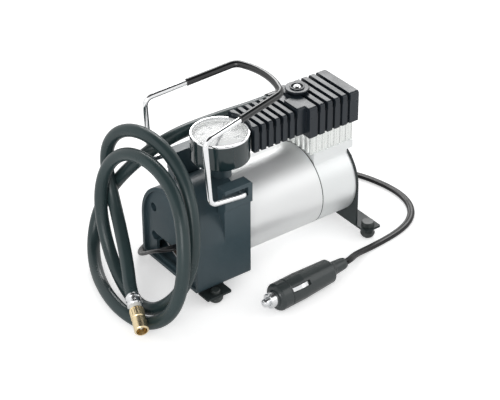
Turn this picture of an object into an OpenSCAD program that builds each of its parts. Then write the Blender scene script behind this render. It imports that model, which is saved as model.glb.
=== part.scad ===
// Portable 12 V tyre inflator.
// A tube motor drives a short crankcase; a fluted cylinder stands on the crankcase under a ribbed cover.
// A moulded housing closes the other end and carries the pressure gauge and a wire handle.
// The origin is on the floor, at the middle of the body's length and width. X runs along the motor, Z is up.

/* [Motor] */
// Outside diameter of the motor tube and the crankcase
motor_d = 64; // [62:0.5:66]
// Length of motor tube that shows between the housing and the crankcase
tube_l = 68; // [62:1:80]
// Wall of the motor tube
tube_wall = 1.6; // [1.2:0.1:2]
// Height of the motor axis above the floor
axis_h = 42.5; // [42.5:0.5:46]
// Diameter of the motor shaft
shaft_d = 8; // [6:0.5:9]
// Outside diameter of the armature
armature_d = 47; // [42:1:50]
// Length of the armature stack
armature_l = 44; // [36:1:48]

/* [Crankcase and cylinder] */
// Length of the crankcase along the motor axis
case_l = 31.2; // [31:0.2:36]
// Height of the flat cylinder seat above the crankcase's round top
seat_rise = 1.6; // [1.2:0.2:4]
// Distance from the crankcase seam to the cylinder axis
cyl_offset = 16; // [15.8:0.1:16.6]
// Distance from the cylinder axis to the middle of its fluted block
block_shift = 1.6; // [0.6:0.1:2]
// Cylinder bore
bore_d = 25; // [22:0.5:26]
// Piston stroke
stroke = 14; // [11:0.5:15]
// Width of the fluted cylinder block, both ways
block_w = 39; // [38:0.5:39.6]
// Height of the fluted block that shows under the cover
block_h = 15.4; // [13:0.2:20]
// Depth of a flute
flute_depth = 1.2; // [0.6:0.1:1.6]
// Flutes on each side of the block
flute_count = 7; // [5:1:8]

/* [Ribbed cover] */
// Length of the wide part over the cylinder
cover_l = 45; // [44:0.5:48]
// Width of the wide part
cover_w = 40.8; // [40.2:0.2:44]
// Height of the wide part
cover_h = 24.6; // [24:0.2:28]
// Width of the narrow part over the air pipe
duct_w = 31.6; // [28:0.4:34]
// How much lower the narrow part's top is
duct_drop = 1.4; // [0.6:0.2:3]
// How much higher the narrow part's lower edge is
duct_lift = 2.6; // [1:0.2:4]
// Distance between ribs
rib_pitch = 6.9; // [6.4:0.1:7]
// Width of the gap between ribs on the top
rib_gap = 3; // [2.4:0.1:3.4]
// Depth of the gaps from the top
rib_depth = 6; // [3:0.5:6.5]
// Depth of the grooves in the sides
groove_depth = 1.8; // [1:0.1:2]
// Diameter of the round washer on the cover
washer_d = 18; // [16:0.5:20]

/* [End housing] */
// Length of the end housing
housing_l = 46.5; // [44:0.5:54]
// Width of the end housing
housing_w = 70; // [69.4:0.2:74]
// Height of the housing's flat underside above the floor
housing_z = 9.4; // [9.2:0.1:9.8]
// Wall of the housing's flat sides and bottom
housing_wall = 2.6; // [2:0.1:2.8]
// Depth of the end wall inside its rim
rim_depth = 2.4; // [1:0.2:3]
// Diameter of the adapter sockets in the end wall
socket_d = 7; // [6:0.2:8]
// Depth of the adapter sockets
socket_l = 8; // [6:0.5:8.5]
// Height of the ears' tops above the floor
ear_top = 87.4; // [87:0.2:90]
// Length of an ear along the motor axis
ear_l = 23.5; // [22:0.5:26]

/* [Gauge] */
// Diameter of the pressure gauge
gauge_d = 43; // [40:0.5:44]
// Height of the gauge case
gauge_h = 20.2; // [18:0.2:22]
// Height of the gauge's underside above the floor
gauge_z = 90.9; // [90:0.5:93]
// Swing of the gauge needle in degrees
gauge_sweep = 270; // [180:10:300]

/* [Handle] */
// Diameter of the handle wire
wire_d = 4; // [3.5:0.1:4.4]
// Outside diameter of the grip sleeve
grip_d = 7; // [6:0.2:8]
// Height of the crossbar's axis above the floor
handle_top = 143; // [136:1:150]
// How far the crossbar reaches past the housing's rim
handle_reach = 33; // [26:1:38]
// Width of the handle between the crossbar's corners
handle_w = 54; // [46:1:60]

/* [Feet and brackets] */
// Thickness of the bracket steel
plate_t = 1.6; // [1.2:0.1:2]
// Length of the rear bracket's flange
flange_l = 13; // [12.5:0.5:18]
// Width of the rear bracket's flange
flange_w = 89.6; // [88:0.4:96]
// Height of the rear flange's top above the floor
flange_z = 9.6; // [8.4:0.2:10.6]
// Height of the front flange's top above the floor
tab_z = 7.4; // [7:0.1:7.8]
// Largest diameter of a rubber foot
foot_d = 11; // [9.6:0.2:11.2]

/* [Car plug] */
// Diameter of the plug body
plug_d = 20.8; // [20:0.1:21.2]
// Length of the plug body
plug_l = 42; // [40:1:46]
// Direction of the plug's cord end, from +X towards +Y
plug_turn = 3.87; // [-5:0.1:10]
// How far the near side contact points up
plug_roll = 38; // [0:1:80]
// Travel of the sprung tip
tip_travel = 3; // [1:0.5:3.5]
// Travel of each side contact
contact_travel = 1; // [0.4:0.1:1]

/* [Air hose and power cord] */
// Outside diameter of the air hose
hose_d = 9.6; // [8:0.2:9.8]
// Width of the flat power cord
cord_w = 5.6; // [4.6:0.2:6]
// Thickness of the flat power cord
cord_t = 3; // [2.4:0.1:3.2]
// Outside diameter of the screw-on valve chuck
chuck_d = 10.2; // [9.6:0.1:10.6]
// Length of the screw-on valve chuck
chuck_l = 20; // [17:0.5:22]

/* [Hidden] */

$fn = 48;
run_gap = 0.05;      // radial clearance of a running fit
slip = 0.3;          // gap between pieces that move past each other
seat_gap = 0.1;      // gap round a piece that drops into its place

motor_r = motor_d / 2;
total_l = housing_l + tube_l + case_l + plate_t + flange_l;
joint_x = housing_l - total_l / 2;          // right rim of the end housing
end_x = joint_x - housing_l;                // left rim of the end housing
seam_x = joint_x + tube_l;                  // where the motor tube meets the crankcase
case_x = seam_x + case_l;                   // right end of the crankcase
plate_x = case_x + plate_t;                 // outer face of the rear bracket
cyl_x = seam_x + cyl_offset;                // cylinder axis
block_x = cyl_x + block_shift;              // middle of the fluted block, the head and the cover
tube_x0 = end_x + 12;                       // hidden left end of the motor tube
shaft_r = shaft_d / 2;
bore_r = bore_d / 2;
crank_r = stroke / 2;

seat_z = axis_h + motor_r + seat_rise;      // flat top of the crankcase, under the cylinder
cover_z = seat_z + block_h;                 // lower edge of the wide cover
valve_t = 1.6;
head_z = cover_z + valve_t;
head_h = 14;
head_w = 34;
cover_top = cover_z + cover_h;
cover_x0 = block_x - cover_l / 2 + 0.6;
cover_wall = 2.8;
duct_top = cover_top - duct_drop;
duct_z = cover_z + duct_lift;
gauge_x = joint_x - 0.8;
gauge_r = gauge_d / 2;
gauge_top = gauge_z + gauge_h;
duct_x0 = gauge_x + 18.6;
pipe_z = gauge_z + 8.5;
pipe_r = 3;
washer_x = block_x - 12.9;
washer_y = 6.5;

housing_r = housing_w / 2;
ear_x0 = joint_x - 22.5;
ear_y = housing_r + 1;
ear_t = 9;
wire_r = wire_d / 2;
pivot_z = 79.6;                               // height of the wire's ends in the ears
pivot_x = joint_x - 6.3;
wire_y = ear_y + 1.4;
slot_h = wire_d + 2.8;

rear_foot_y = flange_w / 2 - 5.6;
rear_foot_x = plate_x + 5.1;
front_foot_x = joint_x - 33.2;
bracket_l = 21;                             // front bracket along the motor axis
bracket_in = 30.4;                          // where its flange steps down, from the middle
bracket_half = 42.4;                        // its half width
front_foot_y = bracket_half - 4.8;
foot_neck_r = 2.6;

switch_x = joint_x - 19;
switch_z = housing_z + 9.3;

plug_r = plug_d / 2;
plug_seam = [joint_x + 3.5, -71.3, plug_r + 0.2];   // joint line between the plug's nose and its body
boot_l = 15;
boot_end = plug_seam + (plug_l + boot_l) * [cos(plug_turn), sin(plug_turn), 0];

// ---------- general shapes ----------
function unit(v) = v / norm(v);

// Directions along a path, each the mean of the stretches on both sides of a point
function directions(p) = [for (i = [0 : len(p) - 1])
    i == 0 ? unit(p[1] - p[0]) :
    i == len(p) - 1 ? unit(p[i] - p[i - 1]) :
    unit(unit(p[i + 1] - p[i]) + unit(p[i] - p[i - 1]))];

// Side directions carried along the path without twist
function carried(t, i, n) = i >= len(t) ? [] :
    let (m = unit(n - (n * t[i]) * t[i])) concat([m], carried(t, i + 1, m));

// Side directions that stay level, for a flat cord
function level(t) = [for (d = t) unit(cross([0, 0, 1], d))];

// A closed tube: a ring of points at each path point, and a flat cap at each end
module swept(path, side, across, through, sides) {
    t = directions(path);
    rings = [for (i = [0 : len(path) - 1]) let (b = cross(t[i], side[i]))
        for (k = [0 : sides - 1])
            path[i] + across * cos(360 * k / sides) * side[i] + through * sin(360 * k / sides) * b];
    last = (len(path) - 1) * sides;
    polyhedron(rings, concat(
        [[for (k = [0 : sides - 1]) sides - 1 - k]],
        [[for (k = [0 : sides - 1]) last + k]],
        [for (i = [0 : len(path) - 2]) for (k = [0 : sides - 1]) let (n = (k + 1) % sides)
            [i * sides + k, i * sides + n, (i + 1) * sides + k]],
        [for (i = [0 : len(path) - 2]) for (k = [0 : sides - 1]) let (n = (k + 1) % sides)
            [i * sides + n, (i + 1) * sides + n, (i + 1) * sides + k]]));
}

module round_tube(path, r, first_side, sides = 10)
    swept(path, carried(directions(path), 0, first_side), r, r, sides);

// A round tube with a bore right through: outer and inner rings, joined at the two ends
module round_sleeve(path, r_out, r_in, first_side, sides) {
    t = directions(path);
    side = carried(t, 0, first_side);
    n = len(path);
    rings = [for (r = [r_out, r_in], i = [0 : n - 1]) let (b = cross(t[i], side[i]))
        for (k = [0 : sides - 1]) path[i] + r * (cos(360 * k / sides) * side[i] + sin(360 * k / sides) * b)];
    inner = n * sides;
    last = (n - 1) * sides;
    quads = [for (i = [0 : n - 2], k = [0 : sides - 1]) [i * sides + k, i * sides + (k + 1) % sides,
        (i + 1) * sides + (k + 1) % sides, (i + 1) * sides + k]];
    polyhedron(rings, concat(
        [for (q = quads) [q[0], q[1], q[3]]], [for (q = quads) [q[1], q[2], q[3]]],
        [for (q = quads) [q[1] + inner, q[0] + inner, q[3] + inner]],
        [for (q = quads) [q[2] + inner, q[1] + inner, q[3] + inner]],
        [for (k = [0 : sides - 1]) let (m = (k + 1) % sides) [k, inner + k, m]],
        [for (k = [0 : sides - 1]) let (m = (k + 1) % sides) [m, inner + k, inner + m]],
        [for (k = [0 : sides - 1]) let (m = (k + 1) % sides) [last + k, last + m, last + inner + k]],
        [for (k = [0 : sides - 1]) let (m = (k + 1) % sides) [last + m, last + inner + m, last + inner + k]]));
}

// A cylinder along +X from x0 to x1
module along_x(x0, x1, r, y = 0, z = axis_h)
    translate([x0, y, z]) rotate([0, 90, 0]) cylinder(h = x1 - x0, r = r);

// A cylinder along +Y from y0 to y1
module along_y(y0, y1, r, x, z)
    translate([x, y0, z]) rotate([-90, 0, 0]) cylinder(h = y1 - y0, r = r);

// A rectangle with round corners, made of true arcs
module round_rect(w, d, r) {
    square([w - 2 * r, d], center = true);
    square([w, d - 2 * r], center = true);
    for (x = [-1, 1], y = [-1, 1]) translate([x * (w / 2 - r), y * (d / 2 - r)]) circle(r = r);
}

// A profile of (x, radius) points turned about the X axis at height z
module turned_x(x0, points, y = 0, z = axis_h)
    translate([x0, y, z]) rotate([0, 90, 0]) rotate_extrude()
        polygon([for (p = points) [p[1], p[0]]]);

module pan_head(r, h) {
    cylinder(h = h * 0.45, r = r);
    translate([0, 0, h * 0.45]) cylinder(h = h * 0.55, r1 = r, r2 = r * 0.6);
}

// ---------- motor ----------
module motor_tube() color([0.75, 0.76, 0.78]) difference() {
    along_x(tube_x0, seam_x, motor_r);
    along_x(tube_x0 - 1, seam_x + 1, motor_r - tube_wall);
}

magnet_x0 = joint_x - 8;
magnet_l = armature_l + 14;
magnet_r = armature_d / 2 + 0.9;
module field_magnets() color([0.2, 0.2, 0.22]) for (s = [0, 180])
    translate([magnet_x0, 0, axis_h]) rotate([s, 0, 0]) difference() {
        along_x(0, magnet_l, motor_r - tube_wall - run_gap, 0, 0);
        along_x(-1, magnet_l + 1, magnet_r, 0, 0);
        translate([-1, -motor_r, -motor_r]) cube([magnet_l + 2, motor_d, motor_r + 9]);
    }

brush_plate_t = 3;
brush_x = tube_x0 + 9.5;
commutator_r = 9;
brush_w = 5;
brush_l = 14;
brush_y = commutator_r + 11;                // middle of a brush holder
module brush_plate() color([0.55, 0.35, 0.2]) difference() {
    union() {
        along_x(tube_x0, tube_x0 + brush_plate_t, motor_r - tube_wall - run_gap);
        along_x(tube_x0, tube_x0 + brush_plate_t + 1.4, shaft_r + 4.4);
        for (s = [-1, 1]) translate([tube_x0, s * brush_y - 6.5, axis_h - brush_w])
            cube([brush_x - tube_x0 + brush_w / 2 + 2, 13, 2 * brush_w]);
    }
    along_x(tube_x0 - 1, tube_x0 + 8, shaft_r + 2.4);
    for (s = [-1, 1]) translate([brush_x, s * brush_y, axis_h])
        cube([brush_w + 2 * seat_gap, brush_l + 1, brush_w + 2 * seat_gap], center = true);
}

module brushes() color([0.15, 0.15, 0.15]) difference() {
    for (s = [-1, 1]) translate([brush_x, s * (commutator_r + brush_l / 2), axis_h])
        cube([brush_w, brush_l, brush_w], center = true);
    along_x(brush_x - brush_w, brush_x + brush_w, commutator_r + slip);
}

module rear_bush() color([0.72, 0.55, 0.3]) difference() {
    along_x(tube_x0, tube_x0 + brush_plate_t + 1.4, shaft_r + 2.4);
    along_x(tube_x0 - 1, tube_x0 + 9, shaft_r + run_gap);
}

bearing_w = 6;
bearing_r = shaft_r + 6;
bearing_x = seam_x - 1.6;
module front_bearing() color([0.8, 0.8, 0.82]) difference() {
    along_x(bearing_x, bearing_x + bearing_w, bearing_r);
    along_x(bearing_x - 1, bearing_x + bearing_w + 1, shaft_r + run_gap);
    for (x = [bearing_x - 0.5, bearing_x + bearing_w - 0.5]) translate([x, 0, 0]) difference() {
        along_x(0, 1, bearing_r - 1.6);
        along_x(-1, 2, shaft_r + 1.6);
    }
}

crank_disc_t = 5.5;
crank_x0 = cyl_x - 4 - slip - crank_disc_t;     // left face of the crank disc
core_x0 = magnet_x0 + 7;
core_x1 = core_x0 + armature_l;
commutator_l = 11;
module motor_shaft() color([0.8, 0.8, 0.82]) along_x(tube_x0 - 1, crank_x0 + crank_disc_t, shaft_r);

slot_n = 7;
slot_r = armature_d / 2 - 6;
module armature_core() color([0.6, 0.6, 0.62]) difference() {
    along_x(core_x0, core_x1, armature_d / 2);
    along_x(core_x0 - 1, core_x1 + 1, shaft_r);
    translate([core_x0 - 1, 0, axis_h]) for (i = [0 : slot_n - 1]) rotate([360 * i / slot_n, 0, 0]) {
        along_x(0, armature_l + 2, 3.8, 0, slot_r);
        translate([0, -1.1, slot_r]) cube([armature_l + 2, 2.2, 8]);
    }
}

module armature_windings() color([0.7, 0.35, 0.15]) {
    translate([core_x0 - 6, 0, axis_h]) for (i = [0 : slot_n - 1]) rotate([360 * i / slot_n, 0, 0])
        along_x(0, armature_l + 12, 3.6, 0, slot_r);
    for (x = [core_x0 - 8, core_x1]) difference() {
        along_x(x, x + 8, slot_r + 3.4);
        along_x(x - 1, x + 9, shaft_r + 1);
        turned_x(x, [[-0.1, slot_r + 1.4], [-0.1, slot_r + 6], [2, slot_r + 6], [0, slot_r + 1.4]]);
    }
}

module commutator() color([0.75, 0.45, 0.25]) difference() {
    along_x(core_x0 - 9 - commutator_l, core_x0 - 8, commutator_r);
    along_x(core_x0 - 30, core_x0, shaft_r);
    translate([core_x0 - 10 - commutator_l, 0, axis_h]) for (i = [0 : slot_n - 1])
        rotate([360 * (i + 0.5) / slot_n, 0, 0]) translate([0, -0.3, commutator_r - 1.2])
            cube([commutator_l + 3, 0.6, 3]);
}

// Crank disc: a round counterweight cut away on the pin's side, with a boss for the pin and a hub
pin_r = 3;
disc_r = crank_r + 11;
module crank_disc() color([0.5, 0.5, 0.52]) difference() {
    intersection() {
        along_x(crank_x0, crank_x0 + crank_disc_t, disc_r);
        union() {
            translate([crank_x0 - 1, -disc_r, axis_h - disc_r]) cube([crank_disc_t + 2, 2 * disc_r, disc_r]);
            along_x(crank_x0 - 1, crank_x0 + 8, shaft_r + 5);
            translate([crank_x0 - 1, -pin_r - 3, axis_h]) cube([crank_disc_t + 2, 2 * pin_r + 6, crank_r]);
            along_x(crank_x0 - 1, crank_x0 + 8, pin_r + 3, 0, axis_h + crank_r);
        }
    }
    along_x(crank_x0 - 1, crank_x0 + 8, shaft_r);
    along_x(crank_x0 - 1, crank_x0 + 8, pin_r - 0.5, 0, axis_h + crank_r);
    translate([crank_x0 + crank_disc_t / 2, 0, axis_h]) rotate([180, 0, 0]) cylinder(h = 30, r = 1.5);
}

module crank_grub_screw() color([0.25, 0.25, 0.27]) difference() {
    translate([crank_x0 + crank_disc_t / 2, 0, axis_h - shaft_r - 6]) cylinder(h = 6, r = 1.5);
    translate([crank_x0 + crank_disc_t / 2, 0, axis_h - shaft_r - 6.5]) cylinder(h = 2.5, r = 0.8, $fn = 6);
}

// ---------- crankcase and cylinder ----------
case_wall = 4;
seam_groove = 0.5;
neck_y = block_w / 2;
neck_flare = 5;
neck_foot_z = axis_h + sqrt(motor_r * motor_r - (neck_y + neck_flare) * (neck_y + neck_flare));
// Half of the neck's outline across the axis: it flares out into the round of the case
neck_half = concat([[0, axis_h]], [for (a = [0 : 22.5 : 90]) [neck_y + neck_flare * (1 - sin(a)),
    neck_foot_z + (seat_z - neck_foot_z) * 0.75 * (1 - cos(a))]], [[neck_y, seat_z], [0, seat_z]]);
ledge_t = 6.7;                              // shelf under the part of the block that overhangs the case
spigot_r = bore_r + 1.6;
spigot_l = 10;
module crankcase() color([0.74, 0.75, 0.77]) difference() {
    union() {
        along_x(seam_x, seam_x + seam_groove, motor_r - seam_groove);
        along_x(seam_x + seam_groove, case_x, motor_r);
        lengthwise(seam_x + seam_groove, case_l - seam_groove) {
            polygon(neck_half);
            mirror([1, 0]) polygon(neck_half);
        }
        translate([case_x - 1, -neck_y, seat_z - ledge_t])
            cube([block_x + block_w / 2 - case_x + 1, block_w, ledge_t]);
        along_x(seam_x - 3, seam_x + 1, motor_r - tube_wall - run_gap);
    }
    along_x(case_x, plate_x + seat_gap, rear_plate_r + seat_gap);
    along_x(bearing_x + bearing_w + 1, case_x + 1, motor_r - case_wall);
    along_x(bearing_x, bearing_x + bearing_w + 2, bearing_r);
    along_x(seam_x - 4, bearing_x + 1, bearing_r - 1.6);
    translate([cyl_x, 0, seat_z - 14]) cylinder(h = 20, r = spigot_r + run_gap);
    for (a = [45, 135, 225, 315]) rotate_about_axis(a) along_x(case_x - 9, case_x + 1, 1.5, motor_r - 3.4, 0);
}

module rotate_about_axis(a) translate([0, 0, axis_h]) rotate([a, 0, 0]) children();

flute_pitch = (block_w - 1) / flute_count;
module flutes() for (a = [0, 90, 180, 270]) rotate([0, 0, a]) for (i = [0 : flute_count - 1])
    translate([(i + 0.5 - flute_count / 2) * flute_pitch, block_w / 2 + flute_pitch * 0.42 - flute_depth, -1])
        cylinder(h = block_h + 2, r = flute_pitch * 0.42, $fn = 24);

module cylinder_shell() difference() {
    union() {
        linear_extrude(block_h) round_rect(block_w, block_w, 2);
        translate([-block_shift, 0, -spigot_l]) cylinder(h = spigot_l + 1, r = spigot_r);
    }
    flutes();
    translate([-block_shift, 0, -spigot_l - 1]) cylinder(h = spigot_l + block_h + 2, r = bore_r);
    for (x = [-1, 1], y = [-1, 1]) translate([x * screw_in, y * screw_in, block_h - 8])
        cylinder(h = 10, r = 1.6);
}
screw_in = 13.5;                            // head screws, from the block's middle

module cylinder_block() translate([block_x, 0, seat_z]) color([0.82, 0.83, 0.84]) cylinder_shell();

module head_holes(r, h) for (x = [-1, 1], y = [-1, 1])
    translate([x * screw_in, y * screw_in, -1]) linear_extrude(h + 2) circle(r = r);

module valve_plate() translate([block_x, 0, cover_z]) color([0.6, 0.62, 0.64]) linear_extrude(valve_t)
    difference() {
        round_rect(head_w, head_w, 3);
        for (x = [-1, 1], y = [-1, 1]) translate([x * screw_in, y * screw_in]) circle(r = 1.8);
        for (y = [-5, 5]) translate([0, y]) circle(r = 2.2);
    }

// Two spring reeds, let into the head over the plate's ports
module valve_reeds() color([0.45, 0.5, 0.6]) for (y = [-5, 5])
    translate([cyl_x, y, head_z]) linear_extrude(0.3) {
        translate([-4, 0]) square([9, 4], center = true);
        circle(r = 3);
    }

module cylinder_head() translate([block_x, 0, head_z]) color([0.7, 0.71, 0.73]) difference() {
    linear_extrude(head_h) round_rect(head_w, head_w, 3);
    head_holes(1.8, head_h);
    translate([0, 0, -1]) linear_extrude(6) round_rect(22, 17, 4);
    translate([washer_x - block_x, washer_y, head_h - 8]) linear_extrude(10) circle(r = 1.6);
    translate([-head_w / 2 - 1, 0, pipe_z - head_z]) rotate([0, 90, 0]) linear_extrude(12) circle(r = pipe_r);
    translate([elbow_x - block_x, 4, elbow_z - head_z]) rotate([-90, 0, 0]) linear_extrude(20) circle(r = 3.5);
}

module head_screws() color([0.6, 0.62, 0.64]) for (x = [-1, 1], y = [-1, 1])
    translate([block_x + x * screw_in, y * screw_in, head_z + head_h - 2.6]) {
        translate([0, 0, 2.6]) pan_head(2.8, 2);
        translate([0, 0, -head_h - valve_t - 2]) linear_extrude(head_h + valve_t + 5) circle(r = 1.55);
    }

// ---------- piston and rod (one wobble piston) ----------
crown_z = seat_z + block_h - 0.8;           // piston crown at the top of its stroke
crown_t = 4;
rod_w = 8;
rod_eye_r = 7.6;
crank_z = axis_h + crank_r;
module connecting_rod() color([0.66, 0.67, 0.7]) difference() {
    union() {
        along_x(cyl_x - rod_w / 2, cyl_x + rod_w / 2, rod_eye_r, 0, crank_z);
        translate([cyl_x - 2, -4, crank_z]) cube([4, 8, crown_z - crown_t - crank_z]);
        translate([cyl_x - rod_w / 2, -2, crank_z + 6]) cube([rod_w, 4, crown_z - crown_t - crank_z - 6]);
        translate([cyl_x, 0, crown_z - crown_t - 1.8]) linear_extrude(1.8) circle(r = bore_r - 1.2);
        translate([cyl_x, 0, crown_z - crown_t - 1]) linear_extrude(2) circle(r = bore_r - 5);
    }
    along_x(cyl_x - rod_w, cyl_x + rod_w, rod_bearing_r, 0, crank_z);
    translate([cyl_x, 0, crown_z - crown_t - 6]) linear_extrude(12) circle(r = 1.5);
}

rod_bearing_r = 5.5;
module rod_bearing() color([0.8, 0.8, 0.82]) difference() {
    along_x(cyl_x - rod_w / 2, cyl_x + rod_w / 2, rod_bearing_r, 0, crank_z);
    along_x(cyl_x - rod_w, cyl_x + rod_w, pin_r, 0, crank_z);
}

module crank_pin() color([0.4, 0.4, 0.43]) union() {
    along_x(cyl_x - rod_w / 2, cyl_x + rod_w / 2, pin_r, 0, crank_z);
    along_x(cyl_x + rod_w / 2, cyl_x + rod_w / 2 + 1.6, pin_r + 1.4, 0, crank_z);
}

module piston_seal() translate([cyl_x, 0, crown_z - crown_t]) color([0.93, 0.92, 0.88]) difference() {
    linear_extrude(3.4) circle(r = bore_r - run_gap);
    translate([0, 0, -1]) linear_extrude(2.2) circle(r = bore_r - 5 + seat_gap);
    translate([0, 0, 1]) linear_extrude(4) circle(r = bore_r - 1);
}

module seal_retainer() translate([cyl_x, 0, crown_z - 3]) color([0.66, 0.67, 0.7]) difference() {
    linear_extrude(2.4) circle(r = bore_r - 1.6);
    translate([0, 0, -1]) linear_extrude(5) circle(r = 1.6);
    translate([0, 0, 1.2]) linear_extrude(5) circle(r = 3.2);
}

module retainer_screw() translate([cyl_x, 0, crown_z]) color([0.4, 0.4, 0.43]) {
    translate([0, 0, -1.8]) linear_extrude(1.6) circle(r = 3);
    translate([0, 0, -8]) linear_extrude(7) circle(r = 1.45);
}

// ---------- ribbed cover: one moulding, wide over the cylinder and narrow over the air pipe ----------
wide_slots = 5;
duct_pitch = rib_pitch - 0.6;
deck_l = 7;                                 // level deck on the near side, left of the wide part
first_slot = cover_x0 + 8.2;                 // middle of the first gap in the wide part
elbow_x = block_x - 7;
elbow_z = cover_z + 8.4;

// One gap between ribs: deep across the top, shallow down both sides
module rib_slot(x, w, z0, z1) {
    translate([x - rib_gap / 2, -w, z1 - rib_depth]) cube([rib_gap, 2 * w, rib_depth + 1]);
    for (s = [-1, 1]) translate([x - rib_gap / 2 + 0.4, s * w / 2 - groove_depth, z0 - 1])
        cube([rib_gap - 0.8, 2 * groove_depth, z1 - z0 + 2]);
}

module ribbed_cover() color([0.13, 0.14, 0.15]) difference() {
    union() {
        lengthwise(cover_x0, cover_l) translate([0, cover_z]) rib_outline(cover_w, cover_h);
        lengthwise(duct_x0, cover_x0 - duct_x0 + 1) translate([0, duct_z]) rib_outline(duct_w, duct_top - duct_z);
        lengthwise(cover_x0 - deck_l, deck_l + 1) intersection() {
            translate([0, duct_z]) rib_outline(duct_w, cover_top - duct_z);
            translate([-duct_w, duct_top - 4]) square([duct_w + 1, 10]);
        }
        translate([washer_x, washer_y, cover_top - 1]) linear_extrude(boss_h + 1) circle(r = boss_r);
    }
    for (i = [0 : wide_slots - 1]) difference() {
        rib_slot(first_slot + i * rib_pitch, cover_w, cover_z, cover_top);
        translate([washer_x, washer_y, cover_top - rib_depth - 1])
            linear_extrude(rib_depth + 4) circle(r = boss_r);
    }
    for (i = [0 : floor((cover_x0 - 13 - duct_x0) / duct_pitch)])
        rib_slot(cover_x0 - 9.1 - i * duct_pitch, duct_w, duct_z, duct_top);
    translate([gauge_x, 0, duct_z - 1]) linear_extrude(40) circle(r = gauge_r + 0.5);
    translate([cover_x0 + cover_wall, -head_w / 2 - slip, cover_z - 1])
        cube([cover_l - 2 * cover_wall, head_w + 2 * slip, head_h + valve_t + 1 + 0.05]);
    for (x = [-1, 1], y = [-1, 1]) translate([block_x + x * screw_in, y * screw_in, cover_z])
        linear_extrude(head_h + valve_t + 2.6) circle(r = 3.2);
    translate([duct_x0 - 1, -5.5, duct_z - 1]) cube([cover_x0 - duct_x0 + 6, 11, pipe_z + 5 - duct_z]);
    translate([washer_x, washer_y, cover_z]) linear_extrude(40) circle(r = 2.2);
    along_y(0, cover_w, 4.2, elbow_x, elbow_z);
}

// Outline across a rib: round upper corners, flat foot
module rib_outline(w, h) translate([-w / 2, 0]) union() {
    square([w, h - 2]);
    translate([2, 0]) square([w - 4, h]);
    for (x = [2, w - 2]) translate([x, h - 2]) circle(r = 2);
}

boss_r = washer_d / 2 - 2.6;
boss_h = 1.4;
module cover_washer() translate([washer_x, washer_y, cover_top + boss_h]) color([0.16, 0.17, 0.18])
    rotate_extrude() polygon([[2.4, 0], [washer_d / 2 - 0.6, 0], [washer_d / 2, 0.6], [washer_d / 2, 1.2],
        [washer_d / 2 - 0.5, 1.7], [5.4, 1.7], [5.4, 2.5], [4.4, 2.5], [4.4, 1], [2.4, 1]]);

screw_z = cover_top + boss_h + 1;           // seat of the cover screw, in the washer
module cover_screw() translate([washer_x, washer_y, screw_z]) color("silver") difference() {
    union() {
        rotate_extrude() polygon([[0, 0], [3, 0], [3, 1.2], [2.4, 1.8], [1.4, 2.1], [0, 2.2]]);
        translate([0, 0, head_z + head_h - 7.5 - screw_z])
            linear_extrude(screw_z + 8 - head_z - head_h) circle(r = 1.55);
    }
    for (a = [0, 90]) rotate([0, 0, a]) translate([-1.7, -0.4, 1.3]) cube([3.4, 0.8, 3]);
}

module air_pipe() color([0.7, 0.7, 0.72]) difference() {
    along_x(gauge_x + gauge_r - 2.6, block_x - head_w / 2 + 6, pipe_r - 0.02, 0, pipe_z);
    along_x(gauge_x + gauge_r - 4, block_x - head_w / 2 + 7, pipe_r - 1, 0, pipe_z);
}

// Outlet: out of the head's far side, then left along the narrow cover to the hose
hose_y = 29.5;
hose_x0 = 30;
module outlet_elbow() color([0.7, 0.6, 0.35]) {
    along_y(6, hose_y, 3.45, elbow_x, elbow_z);
    along_y(cover_w / 2 + slip, hose_y + 5, 5.2, elbow_x, elbow_z);
    along_x(hose_x0 + 8, elbow_x, 3.6, hose_y, elbow_z);
    along_x(hose_x0, hose_x0 + 9, hose_d / 2 + 0.7, hose_y, elbow_z);
}

// ---------- end housing ----------
// Round arch above the motor axis, straight sides and a flat foot with round corners below it
module tombstone(r, z0, corner) difference() {
    union() {
        translate([0, axis_h]) circle(r = r, $fn = 96);
        translate([-r, z0 + corner]) square([2 * r, axis_h - z0 - corner]);
        translate([-r + corner, z0]) square([2 * r - 2 * corner, corner + 1]);
        for (s = [-1, 1]) translate([s * (r - corner), z0 + corner]) circle(r = corner);
    }
    translate([-r, z0 - r]) square([2 * r, r]);
}

// Turns a drawing in (Y, Z) into a solid along +X
module lengthwise(x0, l) translate([x0, 0, 0]) rotate([90, 0, 90]) linear_extrude(l) children();

wall_x = end_x + rim_depth;                 // outer face of the end wall
wall_t = 2.4;
corner_r = 3;                               // lower corners
// Repeats its children on the far side
module both_sides() {
    children();
    mirror([0, 1, 0]) children();
}

// An ear stands out of the arch; its head is a little proud of the side and of the rim
module ear() {
    translate([ear_x0, ear_y - ear_t, axis_h]) cube([joint_x - ear_x0, ear_t - 1, ear_step - axis_h + 1]);
    translate([0, ear_y, 0]) rotate([90, 0, 0]) linear_extrude(ear_t)
        polygon([[ear_x0, ear_step], [ear_x0 + ear_l, ear_step], [ear_x0 + ear_l, ear_top - 1.2],
            [ear_x0 + ear_l - 1.2, ear_top], [ear_x0, ear_top]]);
}
ear_step = 71;

// Rib in a lower corner of the housing, shaped to the motor tube
module saddle_rib(x) difference() {
    translate([x, 9, housing_z + 1]) cube([2, housing_r - 10, 26]);
    along_x(x - 1, x + 3, motor_r + slip);
}

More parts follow.
